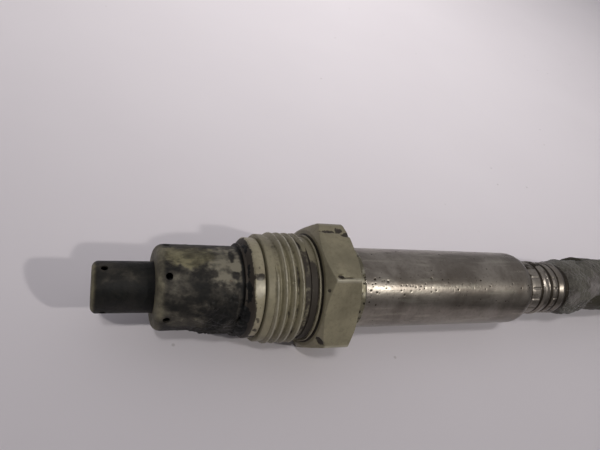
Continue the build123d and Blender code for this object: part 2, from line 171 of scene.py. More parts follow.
# ------------------------------------------------------------------ numbers and meshes
def hashed(i, j, k, seed):
    h = (i * 374761393 + j * 668265263 + k * 1274126177 + seed * 974711) & 0xFFFFFFFF
    h = ((h ^ (h >> 13)) * 1103515245) & 0xFFFFFFFF
    return ((h ^ (h >> 16)) & 0xFFFFFF) / float(0xFFFFFF)


def value_noise(p, seed):
    cell = np.floor(p).astype(np.int64)
    t = p - cell
    t = t * t * (3 - 2 * t)
    total = 0.0
    for corner in range(8):
        step = [(corner >> axis) & 1 for axis in range(3)]
        weight = 1.0
        for axis in range(3):
            weight = weight * (t[..., axis] if step[axis] else 1 - t[..., axis])
        total = total + weight * hashed(*[cell[..., a] + step[a] for a in range(3)], seed)
    return total


def fbm(p, seed, octaves=4, rough=0.5):
    """Fractal noise from 0 to 1, about 0.5, at points in units of its largest feature."""
    total, size, most = 0.0, 1.0, 0.0
    for octave in range(octaves):
        total = total + size * value_noise(p * 2.0 ** octave + 17.3 * octave, seed + octave)
        most += size
        size *= rough
    return total / most


def smooth(value, low, high):
    t = np.clip((value - low) / (high - low), 0, 1)
    return t * t * (3 - 2 * t)


def turn_of(p):
    """Angle round the probe axis, in degrees, from -Y towards +Z."""
    return np.degrees(np.arctan2(p[..., 2], -p[..., 1]))


def radius_of(p):
    return np.hypot(p[..., 1], p[..., 2])


def around_axis(x, r, angle):
    """Points at x, at this distance from the axis and angle round it."""
    return np.stack([x, -r * np.cos(np.radians(angle)), r * np.sin(np.radians(angle))], -1)


def angle_gap(a, b):
    return (a - b + 180) % 360 - 180


def bump_at(turn, centre, half, soft):
    """1 within half degrees of an angle, falling to 0 over soft degrees more."""
    return 1 - smooth(np.abs(angle_gap(turn, centre)), half, half + soft)


def spot(p, x, angle, half_x, half_arc, seed=0, ragged=0.5, soft=0.35):
    """1 inside a ragged patch centred at (x, angle) round the axis, 0 outside it."""
    radius = radius_of(p)
    across = np.radians(angle_gap(turn_of(p), angle)) * radius
    d = np.hypot((p[..., 0] - x) / half_x, across / half_arc)
    d = d + ragged * (fbm(p * 1.3, seed + 40, 4, 0.6) - 0.5) * 2
    return 1 - smooth(d, 1 - soft, 1 + soft)


def spots(p, *patches):
    """Sum of ragged patches, each given as its strength and then spot()'s values."""
    return sum(strength * spot(p, *place) for strength, *place in patches)


def layered(start, *steps):
    """A value with patches laid over it: each step is (value, mask)."""
    for value, mask in steps:
        start = start + (value - start) * np.clip(mask, 0, 1)
    return start


def rounded(points, radii=()):
    """Outline (x, r) with arcs in place of the corners that have a radius."""
    out = []
    for i, (x, r) in enumerate(points):
        size = radii[i] if i < len(radii) else 0
        here = np.array((x, r), float)
        a = np.array(points[i - 1], float) - here
        b = np.array(points[(i + 1) % len(points)], float) - here
        if not size:
            out.append(here)
            continue
        a, b = a / np.linalg.norm(a), b / np.linalg.norm(b)
        half = np.arccos(np.clip(a @ b, -1, 1)) / 2
        reach = size / tan(half)
        centre = here + (a + b) / np.linalg.norm(a + b) * size / sin(half)
        start, end = here + a * reach - centre, here + b * reach - centre
        for t in np.linspace(0, 1, 7):
            ray = start * (1 - t) + end * t
            out.append(centre + ray / np.linalg.norm(ray) * size)
    return out


def divided(points, fine, coarse=1.5, visible=None):
    """The closed outline with its long edges divided, finely where visible(x, r) says so."""
    out = []
    for i, here in enumerate(points):
        there = points[(i + 1) % len(points)]
        middle = (np.array(here) + np.array(there)) / 2
        size = fine if visible is None or visible(*middle) else coarse
        count = max(1, int(np.ceil(np.linalg.norm(np.subtract(there, here)) / size)))
        for k in range(count):
            out.append(np.array(here) * (1 - k / count) + np.array(there) * k / count)
    return np.array(out)


def grid_mesh(name, points):
    """Object from points (rows, columns, 3) in millimetres, closed both ways."""
    rows, columns = points.shape[:2]
    index = np.arange(rows * columns).reshape(rows, columns)
    index = np.vstack([index, index[:1]])
    index = np.hstack([index, index[:, :1]])
    quads = np.stack([index[:-1, :-1], index[1:, :-1], index[1:, 1:], index[:-1, 1:]], -1)
    return mesh_object(name, points.reshape(-1, 3), quads.reshape(-1, 4))


def mesh_object(name, points, faces):
    mesh = bpy.data.meshes.new(name)
    mesh.from_pydata((np.asarray(points) * MM).tolist(), [], [list(f) for f in faces])
    work = bmesh.new()
    work.from_mesh(mesh)
    bmesh.ops.remove_doubles(work, verts=work.verts, dist=1e-3 * MM)
    work.to_mesh(mesh)
    work.free()
    obj = bpy.data.objects.new(name, mesh)
    scene.collection.objects.link(obj)
    return obj


def turned(name, outline, columns, shape):
    """Ring turned about X from a closed outline; shape(p) says how far each point moves outward."""
    x, r = np.array(outline).T
    ahead, behind = np.roll(outline, -1, 0), np.roll(outline, 1, 0)
    along = ahead - behind
    along /= np.maximum(np.linalg.norm(along, axis=1), 1e-9)[:, None]
    out_x, out_r = -along[:, 1], along[:, 0]
    angles = np.radians(np.arange(columns) * 360 / columns)
    ring = np.stack([np.zeros_like(angles), -np.cos(angles), np.sin(angles)], -1)
    axis = np.array((1.0, 0, 0))
    points = x[:, None, None] * axis + r[:, None, None] * ring
    out = out_x[:, None, None] * axis + out_r[:, None, None] * ring
    points = points + out * shape(points)[..., None]
    return grid_mesh(name, points)


def coords(obj):
    flat = np.empty(len(obj.data.vertices) * 3)
    obj.data.vertices.foreach_get("co", flat)
    return flat.reshape(-1, 3) / MM


def paint(obj, **layers):
    """Stores each layer, a function of the points in millimetres, on the mesh's points."""
    p = coords(obj)
    for name, layer in layers.items():
        data = obj.data.attributes.new(name, "FLOAT", "POINT").data
        data.foreach_set("value", np.ascontiguousarray(layer(p), np.float32))


def ready(obj, look, body, slot, *replaced, crisp=30):
    """Shades the piece, gives it its material and says what it rides on and stands for."""
    obj.data.shade_smooth()
    if crisp:
        obj.data.set_sharp_from_angle(angle=radians(crisp))
    obj.data.materials.clear()
    obj.data.materials.append(look.mat)
    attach(obj, body)
    if replaced:
        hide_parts(*replaced)
    return obj


DRILL_SIDES = 24


def drilled(obj, x, radius, angles, depth=(3, 12)):
    """Cuts round radial holes at x, between the two distances from the axis."""
    points, faces = [], []
    for angle in angles:
        a = radians(angle)
        out = np.array((0, -cos(a), sin(a)))
        side = np.array((0, sin(a), cos(a)))
        for reach in depth:
            for k in range(DRILL_SIDES):
                t = 2 * pi * k / DRILL_SIDES
                points.append(np.array((x, 0, 0)) + out * reach
                              + radius * (cos(t) * np.array((1, 0, 0)) + sin(t) * side))
        low = [len(points) - 2 * DRILL_SIDES + k for k in range(DRILL_SIDES)]
        high = [k + DRILL_SIDES for k in low]
        after = low[1:] + low[:1]
        faces += [[a, b, b + DRILL_SIDES, a + DRILL_SIDES] for a, b in zip(low, after)]
        faces += [low[::-1], high]
    mesh = bpy.data.meshes.new("drill")
    mesh.from_pydata((np.array(points) * MM).tolist(), [], faces)
    drill = bpy.data.objects.new("drill", mesh)
    scene.collection.objects.link(drill)
    cut = obj.modifiers.new("cut", "BOOLEAN")
    cut.object, cut.operation, cut.solver = drill, "DIFFERENCE", "EXACT"
    shown = obj.evaluated_get(bpy.context.evaluated_depsgraph_get())
    made = bpy.data.meshes.new_from_object(shown)
    obj.modifiers.clear()
    obj.data = made
    bpy.data.objects.remove(drill)
    return obj


# ------------------------------------------------------------------ surfaces
# The dark grime colour also paints shade, and the bare metal colour also paints a highlight.
RUST, GRIME_AND_SHADE, BARE_METAL_AND_HIGHLIGHT = (0.085, 0.030, 0.018), (0.034, 0.027, 0.019), (0.50, 0.475, 0.39)
SOOT_TONES = ((0.0, (0.0045, 0.005, 0.005)), (0.3, (0.016, 0.015, 0.0135)), (0.5, (0.042, 0.038, 0.033)),
              (0.72, (0.088, 0.081, 0.068)), (1.0, (0.20, 0.185, 0.15)))
SOOT_RELIEF, STEEL_RELIEF = 0.10, 0.012


def sooty_steel(name):
    """Cover steel under soot; the layers say how light, olive, rusty or wet it is."""
    look = Look(name, Metallic=0.08, Specular_IOR_Level=0.22)
    broad = look.noise(330, 5, 0.62, warp=0.5)
    fine = look.noise(1300, 5, 0.65)
    grain = look.noise(5200, 2, 0.6)
    sway = look.math("ADD", look.swing(broad, 1.0), look.swing(fine, 0.55))
    tone = look.math("ADD", look.attr("tone"), sway)
    colour = look.ramp(tone, *SOOT_TONES)
    olive = look.mix(look.attr("olive"), (1.0, 1.0, 1.0), (1.0, 0.98, 0.68))
    colour = look.mix(1.0, colour, olive, "MULTIPLY")
    rusty = look.math("MULTIPLY", look.attr("rust"), look.noise(1500, 2, 0.5))
    colour = look.mix(look.step(rusty, 0.30, 0.46, 0, 0.75), colour, RUST)
    rough = look.step(fine, 0.3, 0.7, 0.50, 0.68)
    rough = look.math("SUBTRACT", rough, look.math("MULTIPLY", look.attr("wet"), 0.3))
    relief = look.math("ADD", look.math("MULTIPLY", grain, 0.25), look.math("ADD", fine, broad))
    look.set(**{"Base Color": colour, "Roughness": rough, "Normal": look.bump(relief, SOOT_RELIEF, 0.8)})
    return look


def worn_steel(name, light, dark, stain, metallic, rough_span, brushed=(9000, 700, 700)):
    """Machined steel, heat tinted and dirty: tint in broad clouds, fine marks, a dark layer of grime and
    painted shade, a bright layer of bare metal and painted highlight.
    """
    look = Look(name, Metallic=metallic)
    clouds = look.noise(130, 5, 0.6, warp=0.4)
    fine = look.noise(1600, 5, 0.65)
    lines = look.noise(1.0, 3, 0.6, stretch=brushed)
    colour = look.mix(look.step(clouds, 0.32, 0.68), dark, light)
    colour = look.mix(look.step(fine, 0.45, 0.75, 0, 0.35), colour, stain)
    flecks = look.step(look.cells(900), 0.10, 0.05)
    flecks = look.math("MULTIPLY", flecks, look.step(clouds, 0.52, 0.8, 0, 0.45))
    colour = look.mix(flecks, colour, stain)
    # Dark layer: real grime, and painted shade on the housing, nut and sleeve.
    grime = look.step(look.math("ADD", look.attr("grime"), look.swing(fine, 0.6)), 0.35, 0.75)
    colour = look.mix(grime, colour, GRIME_AND_SHADE)
    # Bright layer: rubbed bare metal, and a painted highlight on the housing's flange.
    shine = look.attr("shine")
    colour = look.mix(shine, colour, BARE_METAL_AND_HIGHLIGHT)
    rough = look.math("ADD", clouds, look.math("MULTIPLY", fine, 0.5))
    rough = look.spread(rough, 0.45, 1.05, *rough_span)
    rough = look.math("SUBTRACT", look.math("ADD", rough, look.math("MULTIPLY", grime, 0.2)),
                      look.math("MULTIPLY", shine, 0.14))
    height = look.math("ADD", look.math("MULTIPLY", lines, 0.6), fine)
    look.set(**{"Base Color": colour, "Roughness": rough, "Normal": look.bump(height, STEEL_RELIEF, 0.8)})
    return look


def plain_look(name, one, two, scale, rough=(0.4, 0.6), metallic=0.0, relief=0.01, **sockets):
    """Two close tones in small clouds with a matching roughness and a fine relief."""
    look = Look(name, Metallic=metallic, **sockets)
    clouds = look.noise(scale, 4, 0.6)
    grain = look.noise(scale * 6, 3, 0.6)
    look.set(**{"Base Color": look.mix(look.step(clouds, 0.3, 0.7), one, two),
                "Roughness": look.step(clouds, 0.3, 0.7, *rough),
                "Normal": look.bump(look.math("ADD", clouds, grain), relief, 0.8)})
    return look


# ------------------------------------------------------------------ protection covers
PROBE, NUT = "probe", "nut"


def tip_cup():
    wall = 0.3
    outline = [(TIP_END, 0), (TIP_END, TIP_R), (-2.05, TIP_R + 0.12), (-2.05, TIP_R - 0.18),
               (TIP_END + wall, TIP_R - wall), (TIP_END + wall, 0)]
    loop = divided(rounded(outline, (0, 1.0, 0, 0, 0.7, 0)), 0.14, 1.2,
                   lambda x, r: r > 4.0 and x < -14 or x < TIP_END + 0.2)

    def dents(p):
        soft = (fbm(p * (0.35, 0.5, 0.5), 3, 3) - 0.5) * 0.10
        crust = (fbm(p * 1.6, 9, 5, 0.6) - 0.5) * 0.07
        return np.where(radius_of(p) > 3.95, soft + crust, 0)

    def tone(p):
        return layered(0.25 + 0.3 * (fbm(p * 0.7, 31, 3) - 0.5),
                       (0.46, 0.8 * spot(p, -19.0, 78, 3.0, 1.9, 2, 0.8)),
                       (0.14, spot(p, -20.9, 36, 2.6, 2.4, 1, 0.4)),
                       (0.0, smooth(p[:, 0], -18.8, -16.2)),
                       # Painted shade: the lower side of the cup is painted darker.
                       (0.20, 0.8 * smooth(p[:, 2], 0.8, -1.2)),
                       (0.86, 1 - smooth(p[:, 0], -24.3, -23.7)))

    cup = drilled(turned("tip_cup", loop, 260, dents), TIP_HOLE_X, TIP_HOLE_R, TIP_HOLES)
    paint(cup, tone=tone,
          olive=lambda p: 0.3 + 0.5 * (1 - smooth(p[:, 0], -24.2, -23.3)),
          rust=lambda p: 0 * p[:, 0],
          wet=lambda p: 0.5 * spot(p, -20.6, 40, 2.4, 2.4, 6))
    return ready(cup, sooty_steel("tip_steel"), PROBE, "tip_steel", "inner_cover", crisp=40)


def crust_height(p):
    """Thickness of the deposit on the outer cover, in millimetres; below zero there is none."""
    flakes = fbm(p * 0.9, 71, 5, 0.55)
    heavy = spot(p, -1.0, -32, 6.4, 5.2, 11, 0.35, 0.5)
    under = spot(p, -3.0, -75, 7.5, 6.0, 12, 0.5) * 0.35
    patch = 0.22 * spot(p, -4.6, 22, 3.6, 3.0, 13, 0.8) + 0.10 * spot(p, -8.2, 45, 2.2, 2.0, 14, 0.8)
    bald = 0.5 * spot(p, -9.6, 100, 5.2, 3.0, 15, 0.4) + 0.35 * spot(p, -3.6, 92, 2.6, 4.0, 16, 0.5)
    bald = bald + 0.6 * (1 - smooth(p[..., 0], -12.4, -11.0))
    band = smooth(p[..., 0], -1.9, -0.9) * 0.10
    return 0.62 * (flakes - 0.52) + 0.62 * heavy + band + under + patch - bald


def cover_tone(p):
    wide = fbm(p * 0.42, 51, 4)
    smear = fbm(p * (0.35, 1.1, 1.1) + (0, 0, 0.3) * p[:, :1], 52, 4, 0.6)
    return layered(0.38 + 0.9 * (wide - 0.5) + 0.9 * (smear - 0.5),
                   (0.80 + 0.8 * (smear - 0.5), spot(p, -10.1, 103, 4.3, 2.8, 15, 0.3, 0.15)),
                   (0.36, 0.8 * spot(p, -8.0, 125, 7.0, 1.3, 23, 0.5)),
                   (0.88 + 1.0 * (smear - 0.5), spot(p, -4.0, 84, 3.1, 4.4, 17, 0.55, 0.3)),
                   (0.30, 0.9 * spot(p, -7.6, 71, 1.7, 0.8, 22, 0.9)),
                   (0.34, 0.9 * spot(p, -3.1, 99, 0.5, 1.2, 25, 0.8)),
                   (0.32, 0.9 * spot(p, -2.6, 70, 0.6, 0.7, 26, 0.8)),
                   (0.30, 0.7 * spot(p, -10.0, 40, 1.4, 0.7, 27, 0.9)),
                   (0.30, 0.8 * spot(p, -5.6, 48, 1.6, 1.6, 28, 0.9)),
                   (1.25, spot(p, -2.4, 82, 1.1, 0.9, 19, 0.35, 0.2)),
                   (0.18, spot(p, -3.9, 22, 3.4, 2.7, 21, 0.6)),
                   # Painted shade: the lower side of the cover is painted darker.
                   (0.20, 0.85 * smooth(p[:, 2], 1.8, -2.0)),
                   (0.58, 0.8 * spot(p, -1.8, 26, 0.45, 2.6, 29, 0.5)),
                   (0.02, smooth(p[:, 0], -2.0, -1.3)),
                   (0.84 + 0.4 * (wide - 0.5), 1 - smooth(p[:, 0], -14.6, -13.4)))


COVER_LAYERS = dict(
    tone=cover_tone,
    olive=lambda p: layered(0.25, (0.9, spot(p, -10.1, 103, 4.3, 2.8, 15, 0.3, 0.15)),
                            (0.5, 1 - smooth(p[:, 0], -14.4, -13.2))),
    rust=lambda p: 0.55 * spot(p, -3.5, 63, 0.7, 0.8, 20, 0.8),
    wet=lambda p: 0.8 * spot(p, -4.0, 14, 3.6, 3.0, 21, 0.6),
)


def outer_cup():
    wall = 0.4
    outline = [(COVER_END, 4.33), (COVER_END, COVER_R), (COVER_LIP, COVER_R), (COVER_LIP, COVER_R - wall),
               (COVER_END + wall, COVER_R - wall), (COVER_END + wall, 4.33)]
    loop = divided(rounded(outline, (0, 1.4, 0, 0, 1.0, 0)), 0.15, 1.2,
                   lambda x, r: r > COVER_R - 0.2 or x < COVER_END + 0.2)

    def dents(p):
        outside = radius_of(p) > COVER_R - 0.35
        soft, crust = (fbm(p * 0.4, 3, 3) - 0.5) * 0.10, (fbm(p * 1.8, 6, 4, 0.6) - 0.5) * 0.05
        return np.where(outside, soft + crust, 0)

    cup = turned("outer_cup", loop, 400, dents)
    cup = drilled(cup, COVER_HOLE_X, COVER_HOLE_R, COVER_HOLES, (5.5, 12))
    paint(cup, **COVER_LAYERS)
    return ready(cup, sooty_steel("cover_steel"), PROBE, "cover_steel", "outer_cover", crisp=40)


def cover_crust():
    """Baked deposit over the rear of the outer cover, as far as the seat of the housing."""
    outline = [(-12.8, 7.0), (-12.8, 7.12), (COVER_LIP, 7.12), (-1.15, 7.66), (-0.82, 7.66),
               (-0.1, 8.5), (-0.1, 8.3), (-1.0, 7.4), (-1.3, 7.0)]
    loop = divided(outline, 0.13, 0.6, lambda x, r: r > 7.05)

    def shape(p):
        radius = radius_of(p)
        outer = (radius > 7.05) & ~((p[..., 0] > -1.3) & (radius < 7.5))
        outer &= p[..., 0] < -0.12
        fade = smooth(p[..., 0], -12.8, -12.0) * (1 - 0.75 * smooth(p[..., 0], -1.1, -0.12))
        return np.where(outer, np.clip(crust_height(p), -0.1, 0.9) * fade, 0)

    crust = turned("cover_crust", loop, 400, shape)
    paint(crust, **COVER_LAYERS)
    return ready(crust, sooty_steel("cover_deposit"), PROBE, "cover_steel", crisp=60)


# ------------------------------------------------------------------ housing and nut
def housing():
    seat = [(-4.6, 4.35), (-4.6, 6.78), (-1.2, 6.78), (-1.2, 7.75), (-0.8, 7.75), (0, 8.7)]
    flange = [(0.15, FLANGE_R), (1.75, FLANGE_R), (FLANGE_END, FLANGE_R - 0.1), (FLANGE_END, BARREL_R)]
    barrel = [(18.8, BARREL_R), (18.8, 7.15), (23.6, 7.15), (24, 6.65), (24, 4.7)]
    bore = [(22.85, 4.7), (22.85, 5.6), (0.5, 5.6), (0.5, 2.9), (-2, 2.9), (-2, 4.35)]
    loop = divided(seat + flange + barrel + bore, 0.12, 1.5, lambda x, r: r > 7.6 and x < 1.9)

    def marks(p):
        shows = (p[..., 0] > -1.25) & (p[..., 0] < 1.8) & (radius_of(p) > 7.6)
        return np.where(shows, (fbm(p * 1.5, 8, 4, 0.6) - 0.55) * 0.05, 0)

    # Soot on the seat and on the lower front edge of the flange, dirt in clouds and spots, and painted
    # shade on the flange's lower side.
    def dirt(p):
        seat_dirt = 0.95 * (1 - smooth(p[:, 0], -0.3, 0.25))
        # Painted shade: the lower side of the flange is painted darker.
        low = 0.3 * (1 - smooth(turn_of(p), 25, 48))
        low = low + 0.9 * (1 - smooth(p[:, 0], 0.1, 0.9)) * (1 - smooth(turn_of(p), 20, 60))
        clouds = 0.35 * smooth(fbm(p * 0.8, 77, 3), 0.62, 0.7)
        return seat_dirt + low + clouds + spots(p, (0.75, 0.9, 66, 0.9, 0.7, 1, 0.4),
                                                (0.6, 0.9, 76, 0.25, 0.35, 3, 0.3),
                                                (0.5, 1.2, -18, 1.0, 0.7, 5, 0.6))

    body = turned("sensor_housing", loop, 400, marks)
    paint(body, grime=dirt,
          # Painted highlight: a glint of bare metal colour painted on the flange where the lamp reflects.
          shine=lambda p: 0.5 * spot(p, 0.95, 54, 0.9, 1.6, 2, 0.3) * (p[:, 0] > 0.12))
    look = worn_steel("flange_steel", (0.38, 0.345, 0.235), (0.25, 0.22, 0.145), (0.10, 0.08, 0.045),
                      0.3, (0.36, 0.5))
    return ready(body, look, PROBE, "housing_steel", "housing")


def ridge_radius(x, angle):
    """Outer radius of the helical thread at each point, 0 where there is no ridge."""
    part = ((RIDGE_ANGLE - angle) % 360) / 360
    best = np.zeros_like(x)
    for turn in range(RIDGE_TURNS):
        u = part + turn
        run_in = smooth(u, 0, 0.07) * (1 - smooth(u, RIDGE_TURNS - 0.07, RIDGE_TURNS))
        off = np.abs(x - RIDGE_START - PITCH * u)
        flank = (0.685 - off) / tan(radians(30))
        worn = 0.90 - 0.28 * np.clip(off / 0.22, 0, 1) ** 4
        height = -0.06 * np.log(np.exp(-flank / 0.06) + np.exp(-worn / 0.06))
        best = np.maximum(best, 9.05 + np.clip(height, -1, 1) * run_in)
    return best


CORNER_BLEND = 0.05


def hexagon_radius(angle):
    """Radius of the hexagon, its corners slightly rounded by wear."""
    total = 0.0
    for face in NUT_FACES:
        gap = np.radians(angle_gap(angle, face))
        flat = np.where(np.cos(gap) > 0.4, HALF_FLATS / np.maximum(np.cos(gap), 0.4), 99)
        total = total + np.exp(-flat / CORNER_BLEND)
    return -CORNER_BLEND * np.log(total)


def union_nut():
    pilot = [(2.05, 7.75), (2.05, 9.37), (2.2, PILOT_R), (3.3, PILOT_R), (3.35, 9.42), (3.42, ROOT_R)]
    land = [(THREAD_END, ROOT_R), (9.9, 9.3), (11.15, 9.3), (11.15, 9.7), (11.2, 9.75), (11.45, 9.75),
            (11.5, 9.7), (11.5, 9.2), (HEX_START, 9.2)]
    hexagon = [(HEX_START, 10.55), (11.84, 10.69), (13.05, CHAMFER_R), (17.5, CHAMFER_R), (18.27, 11.4),
               (HEX_END, 11.3), (HEX_END, 7.9), (18.15, 7.75)]
    loop = divided(pilot + land + hexagon, 0.075, 1.5, lambda x, r: r > 8.0)
    corners = np.array([a for c in NUT_FACES for a in c + 30 + np.linspace(-2.4, 2.4, 17)])
    angles = np.concatenate([np.arange(-180, 180, 0.9), (corners + 180) % 360 - 180])
    angles = np.unique(np.round(angles, 3))

    x = loop[:, 0][:, None] + 0 * angles
    r = loop[:, 1][:, None] + 0 * angles
    angle = angles + 0 * r
    thread = (x > 2.9) & (x < 9.95) & (r > 9.0)
    r = np.where(thread, np.maximum(r, ridge_radius(x, angle)), r)
    blended = np.exp(-np.minimum(r, 14) / CORNER_BLEND) + np.exp(-hexagon_radius(angle) / CORNER_BLEND)
    blended = -CORNER_BLEND * np.log(blended)
    r = np.where((x >= HEX_START) & (r > 9.3), np.minimum(r, blended), r)
    p = around_axis(x, r, angle)

    wear = (fbm(p * 0.5, 21, 4) - 0.5) * 0.06 + (fbm(p * 3.0, 27, 3) - 0.5) * 0.02
    near_hex = x > HEX_START - 0.1
    nick = spots(p, (0.35, 14.0, 63.2, 0.75, 0.42, 1, 0.35), (0.2, 15.0, 62.2, 1.3, 0.16, 2, 0.2),
                 (0.35, 12.4, 1.5, 0.5, 0.8, 3, 0.4), (0.2, 12.2, 52, 0.22, 0.3, 4, 0.3),
                 (0.18, 14.0, 112, 1.6, 0.35, 5, 0.5), (0.2, 16.2, 113, 0.9, 0.8, 6, 0.6),
                 (0.2, 17.8, 108.5, 1.3, 0.4, 7, 0.5))
    crest = np.where(thread & (r > 9.6), 0.10 * smooth(fbm(p * 1.4, 33, 4), 0.55, 0.72), 0)
    dressed = 12.42 / np.cos(np.radians(angle_gap(angle, 117.5)))
    flattened = np.where(near_hex & (np.abs(angle_gap(angle, 120)) < 9), np.maximum(r - dressed, 0), 0)
    cut = np.where(near_hex & (r > 10.2), wear * 0.6 + nick + flattened, wear * 0.35 + crest)
    r = np.where(r > 8.8, r - cut, r)
    p = around_axis(x, r, angle)
    nut = grid_mesh("hex_union_nut", p)
    paint(nut, grime=nut_grime, shine=edge_shine)
    look = worn_steel("nut_steel", (0.275, 0.248, 0.162), (0.175, 0.156, 0.100), (0.11, 0.09, 0.056),
                      0.22, (0.40, 0.54))
    return ready(nut, look, NUT, "nut_steel", "union_nut", crisp=50)


def nut_grime(q):
    """Dirt in the nut's nicks and in clouds, painted shadow in the groove behind the stop ring, the darker
    thread root, and the land's brown oil with painted shade.
    """
    # Painted shadow: the groove behind the stop ring is painted dark.
    groove = smooth(q[:, 0], 11.45, 11.55) * (q[:, 0] < 11.85) * (radius_of(q) < 10)
    marks = spots(q, (0.85, 14.0, 63.2, 0.55, 0.32, 1, 0.3), (0.7, 15.2, 62.0, 1.3, 0.12, 2, 0.2),
                  (0.8, 12.4, 1.5, 0.5, 0.8, 3, 0.4), (0.7, 12.2, 52, 0.22, 0.35, 4, 0.3),
                  (0.75, 14.0, 112, 1.5, 0.3, 5, 0.6), (0.75, 16.3, 113.5, 0.8, 0.7, 6, 0.7),
                  (0.7, 17.8, 109, 1.2, 0.4, 7, 0.6))
    clouds = 0.2 * smooth(fbm(q * 0.45, 61, 4), 0.6, 0.75)
    return marks + 0.75 * groove + thread_grime(q) + land_grime(q) + clouds


def thread_grime(q):
    """Darker in the thread's root, more towards the hexagon."""
    radius = radius_of(q)
    in_thread = (q[:, 0] > 3.3) & (q[:, 0] < 9.95)
    deep = 1 - smooth(radius, 9.15, 9.6)
    return in_thread * deep * (0.25 + 0.35 * smooth(q[:, 0], 5.5, 9.0) + 0.5 * (fbm(q * 0.7, 91, 3) - 0.4))


def land_grime(q):
    """Baked brown oil on the plain land between thread and hexagon, with painted shade: darker below,
    lighter on top.
    """
    land = smooth(q[:, 0], 9.6, 9.95) * (1 - smooth(q[:, 0], 11.1, 11.2))
    # Painted shade: the land is painted lighter on top and darker below.
    top = smooth(turn_of(q), 68, 100)
    return land * (0.84 - 0.66 * top + 0.5 * (fbm(q * 0.8, 93, 3) - 0.5))


def edge_shine(q):
    """Bright metal where edges rub: crests of the thread, corners of the hexagon, stop ring."""
    radius = radius_of(q)
    crests = smooth(radius, 9.80, 9.93) * ((q[:, 0] > 3.0) & (q[:, 0] < 9.9)) * 0.45
    corner = smooth(radius, 12.40, 12.62) * (q[:, 0] > 12) * 0.55
    ring = smooth(radius, 9.66, 9.74) * ((q[:, 0] > 11.1) & (q[:, 0] < 11.5)) * 0.12
    worn = 0.35 + 0.9 * fbm(q * 1.1, 19, 3)
    return np.clip((crests + corner + ring) * worn, 0, 1)


def collar():
    outline = [(18.95, 7.17), (18.95, 8.15), (21.25, 8.15), (21.25, 7.17)]
    loop = divided(rounded(outline, (0, 0.2, 0.45, 0)), 0.1, 1, lambda x, r: r > 7.2)
    ring = turned("retaining_ring", loop, 360, lambda p: (fbm(p * 2.2, 12, 4, 0.6) - 0.5) * 0.07)
    paint(ring,
          grime=lambda p: 0.8 * (smooth(fbm(p * 1.3, 66, 4), 0.58, 0.68)
                                 + spot(p, 21, 66, 0.35, 0.4, 1, 0.4)),
          shine=lambda p: 0.5 * smooth(fbm(p * 1.0, 36, 3), 0.4, 0.7))
    look = worn_steel("collar_steel", (0.20, 0.184, 0.122), (0.135, 0.122, 0.082), (0.09, 0.075, 0.045),
                      0.7, (0.38, 0.52))
    return ready(ring, look, PROBE, "collar_steel", "retaining_collar")


# ------------------------------------------------------------------ rear sleeve
PITS, PIT_DEPTH = 340, 0.15
LARGE_PITS = [(35.8, 67, 0.42, 0.08), (23.2, 66, 0.36, 0.07), (25.9, 63, 0.33, 0.06),
              (22.3, 50, 0.26, 0.05)]
TAIL_GROOVES = ((63.2, 0.4), (66.5, 0.5), (69.4, 0.6), (71.3, 0.35))


def pit_list():
    """(x, angle, radius, depth) of the sleeve's pits, more of them in front and along its top."""
    rng = np.random.default_rng(7)
    found = []
    for _ in range(PITS):
        x = 21.6 + 40 * rng.random() ** 1.3
        angle = rng.uniform(-180, 180) if rng.random() < 0.35 else rng.normal(57, 9)
        size = 0.07 + 0.17 * rng.random() ** 3
        found.append((x, angle, size, size * PIT_DEPTH))
    return found + LARGE_PITS


def pitted(p):
    """How deep inside a pit each point is, from 0 to 1, and the pits' depth there."""
    inside = np.zeros(p.shape[:-1])
    depth = np.zeros(p.shape[:-1])
    turn = turn_of(p)
    ragged = fbm(p * 5, 3, 2)
    for x, angle, size, deep in pit_list():
        row = np.abs(p[..., 0] - x) < size * 1.5
        across = np.radians(angle_gap(turn, angle)) * SLEEVE_R
        d = np.hypot(p[..., 0] - x, across) / size / (0.6 + 0.8 * ragged)
        value = np.where(row, 1 - smooth(d, 0.45, 1.0), 0)
        inside = np.maximum(inside, value)
        depth = np.maximum(depth, value * deep)
    return inside, depth


def tail_grime(x):
    """Darker in the tail's grooves, dirt over the whole tail a little, and a painted black shadow on its
    rolled rim.
    """
    grooves = sum(1 - smooth(np.abs(x - at), 0.1, half) for at, half in TAIL_GROOVES)
    # The black on the rolled rim, under the fibre sleeve's edge, is painted shadow.
    return 0.75 * grooves + 0.9 * smooth(x, 73.0, 73.5) + 0.26 * smooth(x, 61.5, 63.5)


